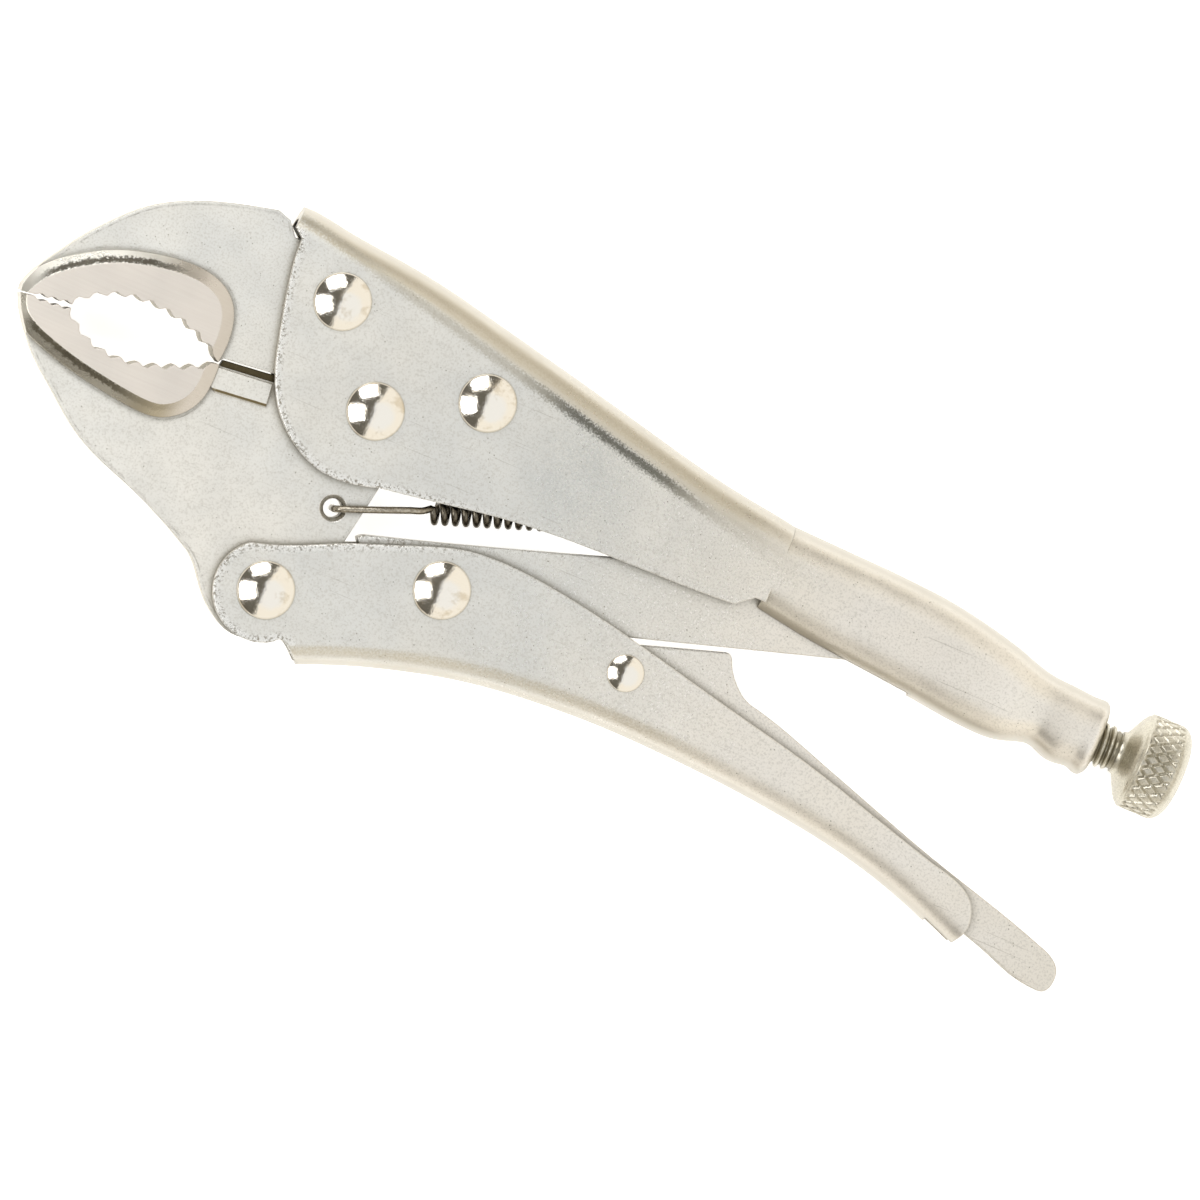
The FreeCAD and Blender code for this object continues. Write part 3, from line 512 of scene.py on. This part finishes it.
def skinned(name, rings, finish, sharp):
    """A closed skin over a row of rings that all have the same number of points."""
    count = len(rings[0])
    points = [point for ring in rings for point in ring]
    faces = []
    for row in range(len(rings) - 1):
        low, high = row * count, (row + 1) * count
        for k in range(count):
            n = (k + 1) % count
            faces.append((low + k, low + n, high + n, high + k))
    faces.append(tuple(range(count))[::-1])
    faces.append(tuple(range(len(points) - count, len(points))))
    return piece(name, points, faces, finish, sharp)


def turned(name, centre, along, stations, segments, finish, sharp):
    """A shape turned about a line square to Y: stations are (place along it, radius)."""
    along = Vector(along)
    across = Vector((0, 1, 0))
    other = along.cross(across)
    rings = [circle(centre + along * place, across, other, radius, segments) for place, radius in stations]
    return skinned(name, rings, finish, sharp)


def smooth_path(points):
    """Points along a smooth (Catmull-Rom) line through the given ones."""
    steps = 6
    path = []
    for k in range(len(points) - 1):
        p0, p1 = points[max(k - 1, 0)], points[k]
        p2, p3 = points[k + 1], points[min(k + 2, len(points) - 1)]
        for s in range(steps):
            t = s / steps
            path.append(0.5 * (2 * p1 + (p2 - p0) * t + (2 * p0 - 5 * p1 + 4 * p2 - p3) * t * t
                               + (3 * p1 - p0 - 3 * p2 + p3) * t ** 3))
    return path + [points[-1]]


def wire(name, path, radius, finish):
    """Round wire along a path, narrowed at both ends."""
    sides, end_share = 12, 0.55
    last = len(path) - 1
    rings = []
    across = None
    for k, here in enumerate(path):
        ahead = (path[min(k + 1, last)] - path[max(k - 1, 0)]).normalized()
        if across is None:
            across = ahead.orthogonal().normalized()
        across = (across - ahead * across.dot(ahead)).normalized()
        r = radius * (end_share if k in (0, last) else 1.0)
        rings.append(circle(here, across, ahead.cross(across), r, sides))
    return skinned(name, rings, finish, 50)


# ---------------------------------------------------------------- finishes on the CAD pieces

PRESSED = pressed_nickel()
UPPER_JAW = forged_nickel("forged_nickel_upper", True)
LOWER_JAW = forged_nickel("forged_nickel_lower", False)
POLISHED = polished_nickel()
SCREW = screw_steel()
WIRE = spring_steel()

for node, finish in {"upper_handle": PRESSED, "lower_handle": PRESSED, "toggle_link": PRESSED,
                     "release_lever": PRESSED, "fixed_jaw": UPPER_JAW, "movable_jaw": LOWER_JAW,
                     "screw_stop_ring": SCREW}.items():
    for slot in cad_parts[node].material_slots:
        slot.link = "OBJECT"
        slot.material = finish


# ---------------------------------------------------------------- rivets

def rivet(node, body):
    """A pin in place of its CAD node: a shallow crown with a rolled rim on both ends of a plain shank."""
    cap_share, rim_share, crown_share = 0.92, 0.08, 0.84
    cap_steps, rim_steps, rim_angle = 24, 6, math.radians(70)
    low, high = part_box(node)
    centre = (low + high) / 2
    head = (high.x - low.x) / 2
    top = (high.z - low.z) / 2
    big = head > 4 * MM
    rise = (1.5 if big else 0.9) * MM
    shank = (2.7 if big else 1.5) * MM
    crown = crown_share * rise / head ** 2
    stations = []
    for k in range(cap_steps + 1):
        radius = max(cap_share * head * k / cap_steps, 0.004 * MM)
        stations.append((top - crown * radius ** 2, radius))
    rim_place, rim_radius = stations[-1]
    lean = math.atan(2 * crown * cap_share * head)
    roll = rim_share * head / (math.sin(rim_angle) - math.sin(lean))
    for k in range(1, rim_steps + 1):
        angle = lean + (rim_angle - lean) * k / rim_steps
        stations.append((rim_place - roll * (math.cos(lean) - math.cos(angle)),
                         rim_radius + roll * (math.sin(angle) - math.sin(lean))))
    stations += [(top - rise, head), (top - rise, shank)]
    mirrored = [(-place, radius) for place, radius in reversed(stations)]
    made = turned(node + "_domed", centre, (0, 0, 1), stations + mirrored, 72, POLISHED, 40)
    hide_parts(node)
    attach(made, body)


for node in ("jaw_pivot_rivet", "fixed_jaw_rivet_front", "fixed_jaw_rivet_rear"):
    rivet(node, "frame")
for node in ("handle_pivot_rivet", "link_pivot_rivet", "lever_pivot_rivet"):
    rivet(node, "lower_handle")


# ---------------------------------------------------------------- adjusting screw

def threaded_rod():
    """The screw's rod from its plain tip to the neck under the knob, with a true helical thread."""
    pitch, crest, depth, tip, steps = 1.4 * MM, 4.0 * MM, 0.7 * MM, 2.9 * MM, 300
    front = SCREW_LOW.x
    start, stop = front + 6.9 * MM, SCREW_HIGH.x - 12.3 * MM

    def threaded(x):
        """The radius round the rod at one place. The thread fades in and out over its end turns."""
        fade = min(1.0, (x - start) / pitch, (stop - x) / pitch)

        def radius(angle):
            turn = ((x - start) / pitch - angle / (2 * math.pi)) % 1.0
            ridge = min(1.0, max(0.0, 1.45 - 3.4 * abs(turn - 0.5)))
            return crest - depth * (1 - ridge * max(fade, 0.0))
        return radius

    stations = [(front, 0.3 * MM), (front, tip - 0.8 * MM), (front + 0.25 * MM, tip - 0.25 * MM),
                (front + 0.8 * MM, tip), (start - 0.5 * MM, tip)]
    for k in range(steps + 1):
        x = start + (stop - start) * k / steps
        stations.append((x, threaded(x)))
    stations += [(stop + 0.35 * MM, 3.5 * MM), (stop + 0.9 * MM, 3.75 * MM), (stop + 1.6 * MM, 4.6 * MM)]
    centre = Vector((0, AXIS.y, AXIS.z))
    return turned("adjusting_screw_rod", centre, (1, 0, 0), stations, 48, SCREW, 60)


def knurled_knob():
    """The knob: smooth conical shoulder, diamond knurl cut by two families of grooves, rounded plain end."""
    end = SCREW_HIGH.x
    knurl_from, knurl_to = end - 8.3 * MM, end - 2.3 * MM
    fade_in, fade_out = 0.5 * MM, 0.9 * MM
    lean = math.tan(math.radians(32)) / KNOB_RADIUS
    grooves, half_groove, groove_depth = 26, 0.17, 0.42 * MM
    end_length, end_drop = 3.0 * MM, 5.2 * MM
    steps, segments = 56, 416

    def body(x):
        """The knob's radius without its knurl, rounding over towards the end."""
        if end - x >= end_length:
            return KNOB_RADIUS
        fall = (end_length - (end - x)) / end_length
        return KNOB_RADIUS - (1 - math.sqrt(max(0.0, 1 - fall ** 2.2))) * end_drop

    def cut(x):
        share = min(1.0, max(0.0, (x - knurl_from) / fade_in), max(0.0, (knurl_to - x) / fade_out))

        def radius(angle):
            deep = 0.0
            for sign in (-1, 1):
                phase = (angle + sign * (x - end) * lean) * grooves / (2 * math.pi) % 1.0
                deep = max(deep, 1.0 - min(1.0, abs(phase - 0.5) / half_groove))
            return body(x) - groove_depth * share * min(1.0, deep * 1.4)
        return radius

    # Distance in front of the knob's end, and radius there, in millimetres
    shoulder = ((12.1, 2.0), (12.1, 3.72), (11.5, 3.9), (11.1, 4.5), (10.4, 5.9), (9.7, 7.2),
                (9.15, 8.0), (8.9, 8.22), (8.72, 8.3), (8.62, 8.42), (8.45, 8.66))
    stations = [(end - ahead * MM, radius * MM) for ahead, radius in shoulder]
    for k in range(steps + 1):
        x = knurl_from + (end - 0.02 * MM - knurl_from) * (k / steps) ** 0.9
        stations.append((x, cut(x)))
    stations += [(end, 3.0 * MM), (end, 0.2 * MM)]
    centre = Vector((0, AXIS.y, AXIS.z))
    return turned("adjusting_screw_knob", centre, (1, 0, 0), stations, segments, SCREW, 50)


rod = threaded_rod()
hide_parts("adjusting_screw")
knob = knurled_knob()
for made in (rod, knob):
    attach(made, "screw")


# ---------------------------------------------------------------- return spring

def return_spring():
    """One wire: hook through the jaw's hole, straight lead, open coil, and a tail in the handle's tab."""
    # All in millimetres from the jaw pivot
    radius, coil, pitch, turns, steps_per_turn = 0.62, 1.8, 1.85, 22, 20
    coil_start = Vector((16.6, -12.15, 0))
    hole = Vector((0.4, -18.4, 0))
    lean = math.radians(19.8)
    along = Vector((math.cos(lean), math.sin(lean), 0))
    aside = Vector((-math.sin(lean), math.cos(lean), 0))
    up = Vector((0, 0, 1))

    def on_coil(turn):
        angle = 2 * math.pi * turn
        return coil_start + along * pitch * turn + (up * math.cos(angle) - aside * math.sin(angle)) * coil

    lead = [hole + Vector(step) for step in (
        (0, 0, -3.6), (0, 0, 0), (0, 0, 2.3), (0.35, 0.15, 3.4), (1.3, 0.55, 3.85), (4.0, 1.6, 3.9),
        (8.0, 3.2, 3.75), (12.2, 4.9, 3.1), (14.3, 5.7, 2.6))]
    path = smooth_path(lead + [on_coil(-0.06)])
    path += [on_coil(k / steps_per_turn) for k in range(1, turns * steps_per_turn + 1)]
    last = on_coil(turns)
    tail = [last, last + along * 0.9 - up * 0.9, last + along * 2.2 - up * 1.7 - aside * 0.4,
            Vector((63.4, 5.75, 0)), Vector((66.5, 5.75, 0)), Vector((68.9, 5.75, 0)), Vector((69.6, 6.4, 0)),
            Vector((69.6, 7.2, 0))]
    path += smooth_path(tail)[1:]
    made = wire("return_spring_wire", [PIVOT + point * MM for point in path], radius * MM, WIRE)
    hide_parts("return_spring")
    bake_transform(made)


return_spring()


# ---------------------------------------------------------------- floor, light and camera

def floor():
    """A plain pale floor just under the tool, lifted towards white by a little light of its own."""
    f = Finish("pale_floor", metallic=0.0)
    for socket, value in {"Base Color": (0.93, 0.93, 0.925, 1), "Roughness": 0.9, "Specular IOR Level": 0.1,
                          "Emission Color": (1, 1, 1, 1), "Emission Strength": 0.6}.items():
        f.shader.inputs[socket].default_value = value
    reach = 3.0
    level = cad_low.z - 0.2 * MM
    made = piece("floor", [(-reach, -reach, level), (reach, -reach, level), (reach, reach, level),
                           (-reach, reach, level)], [(0, 1, 2, 3)], f.material)


def studio():
    """A pale warm tent, neutral overhead and dimmer low down, with a ragged dark wall up at the left."""
    world = bpy.data.worlds.new("studio")
    bpy.context.scene.world = world
    world.use_nodes = True
    n = Nodes(world.node_tree)
    where = n.add("ShaderNodeTexCoord").outputs["Generated"]

    def towards(*direction):
        """How nearly a ray goes in a direction, 1 for straight at it."""
        node = n.add("ShaderNodeVectorMath", operation="DOT_PRODUCT")
        n.link(where, node.inputs[0])
        node.inputs[1].default_value = direction
        return node.outputs["Value"]

    noise = n.add("ShaderNodeTexNoise")
    n.link(where, noise.inputs["Vector"])
    noise.inputs["Scale"].default_value = 9.0
    ragged = n.times(n.minus(noise.outputs["Fac"], 0.5), 0.22)
    height = towards(0.0, 0.0, 1.0)
    back = n.span(n.plus(towards(-0.95, 0.31, 0.0), ragged), 0.06, 0.12)
    left = n.span(n.plus(towards(-1.0, -0.06, 0.0), ragged), -0.03, 0.03)
    wall = n.times(n.math("MAXIMUM", back, left), n.span(height, 0.30, 0.44))
    overhead = n.span(towards(0.26, -0.08, 0.962), 0.86, 0.93)
    low_down = n.span(height, 0.50, 0.20)
    tent = n.mix(low_down, (0.99, 0.945, 0.86, 1), (0.84, 0.79, 0.70, 1))
    tent = n.mix(overhead, tent, (0.95, 0.955, 0.955, 1))
    background = n.add("ShaderNodeBackground")
    n.link(n.mix(wall, tent, (0.13, 0.12, 0.10, 1)), background.inputs["Color"])
    out = n.add("ShaderNodeOutputWorld")
    n.link(background.outputs[0], out.inputs["Surface"])


def window(name, towards, width, height, power):
    """A soft white rectangle of light, facing the middle from a direction."""
    away = 0.75
    light = bpy.data.lights.new(name, "AREA")
    light.shape = "RECTANGLE"
    light.size = width
    light.size_y = height
    light.energy = power
    made = bpy.data.objects.new(name, light)
    made.location = Vector(towards).normalized() * away
    made.rotation_mode = "QUATERNION"
    made.rotation_quaternion = (-made.location).to_track_quat("-Z", "Y")
    bpy.context.scene.collection.objects.link(made)


def camera():
    """Above the flat pliers, leaning a little towards the jaws, the tool running down to the right."""
    lean, turn = math.radians(6.0), math.radians(23.06)
    field = 0.2092
    aim = at(49.1, -14.8, 6.0)
    back = Vector((-math.sin(lean), 0, math.cos(lean)))
    right = Vector((math.cos(turn), math.sin(turn), 0))
    right = (right - back * right.dot(back)).normalized()
    up = back.cross(right)
    data = bpy.data.cameras.new("camera")
    data.lens = 500
    data.sensor_width = 36
    data.clip_start = 0.1
    data.clip_end = 50
    stand = aim + back * (field * data.lens / data.sensor_width)
    made = bpy.data.objects.new("camera", data)
    made.matrix_world = Matrix((
        (right.x, up.x, back.x, stand.x),
        (right.y, up.y, back.y, stand.y),
        (right.z, up.z, back.z, stand.z),
        (0, 0, 0, 1)))
    bpy.context.scene.collection.objects.link(made)
    bpy.context.scene.camera = made


floor()
studio()
window("window_back", (-0.42, 0.53, 0.73), 0.40, 0.38, 1.9)
window("window_left", (-0.52, -0.26, 0.80), 0.38, 0.46, 1.8)
camera()
bpy.context.scene.view_settings.view_transform = "Standard"
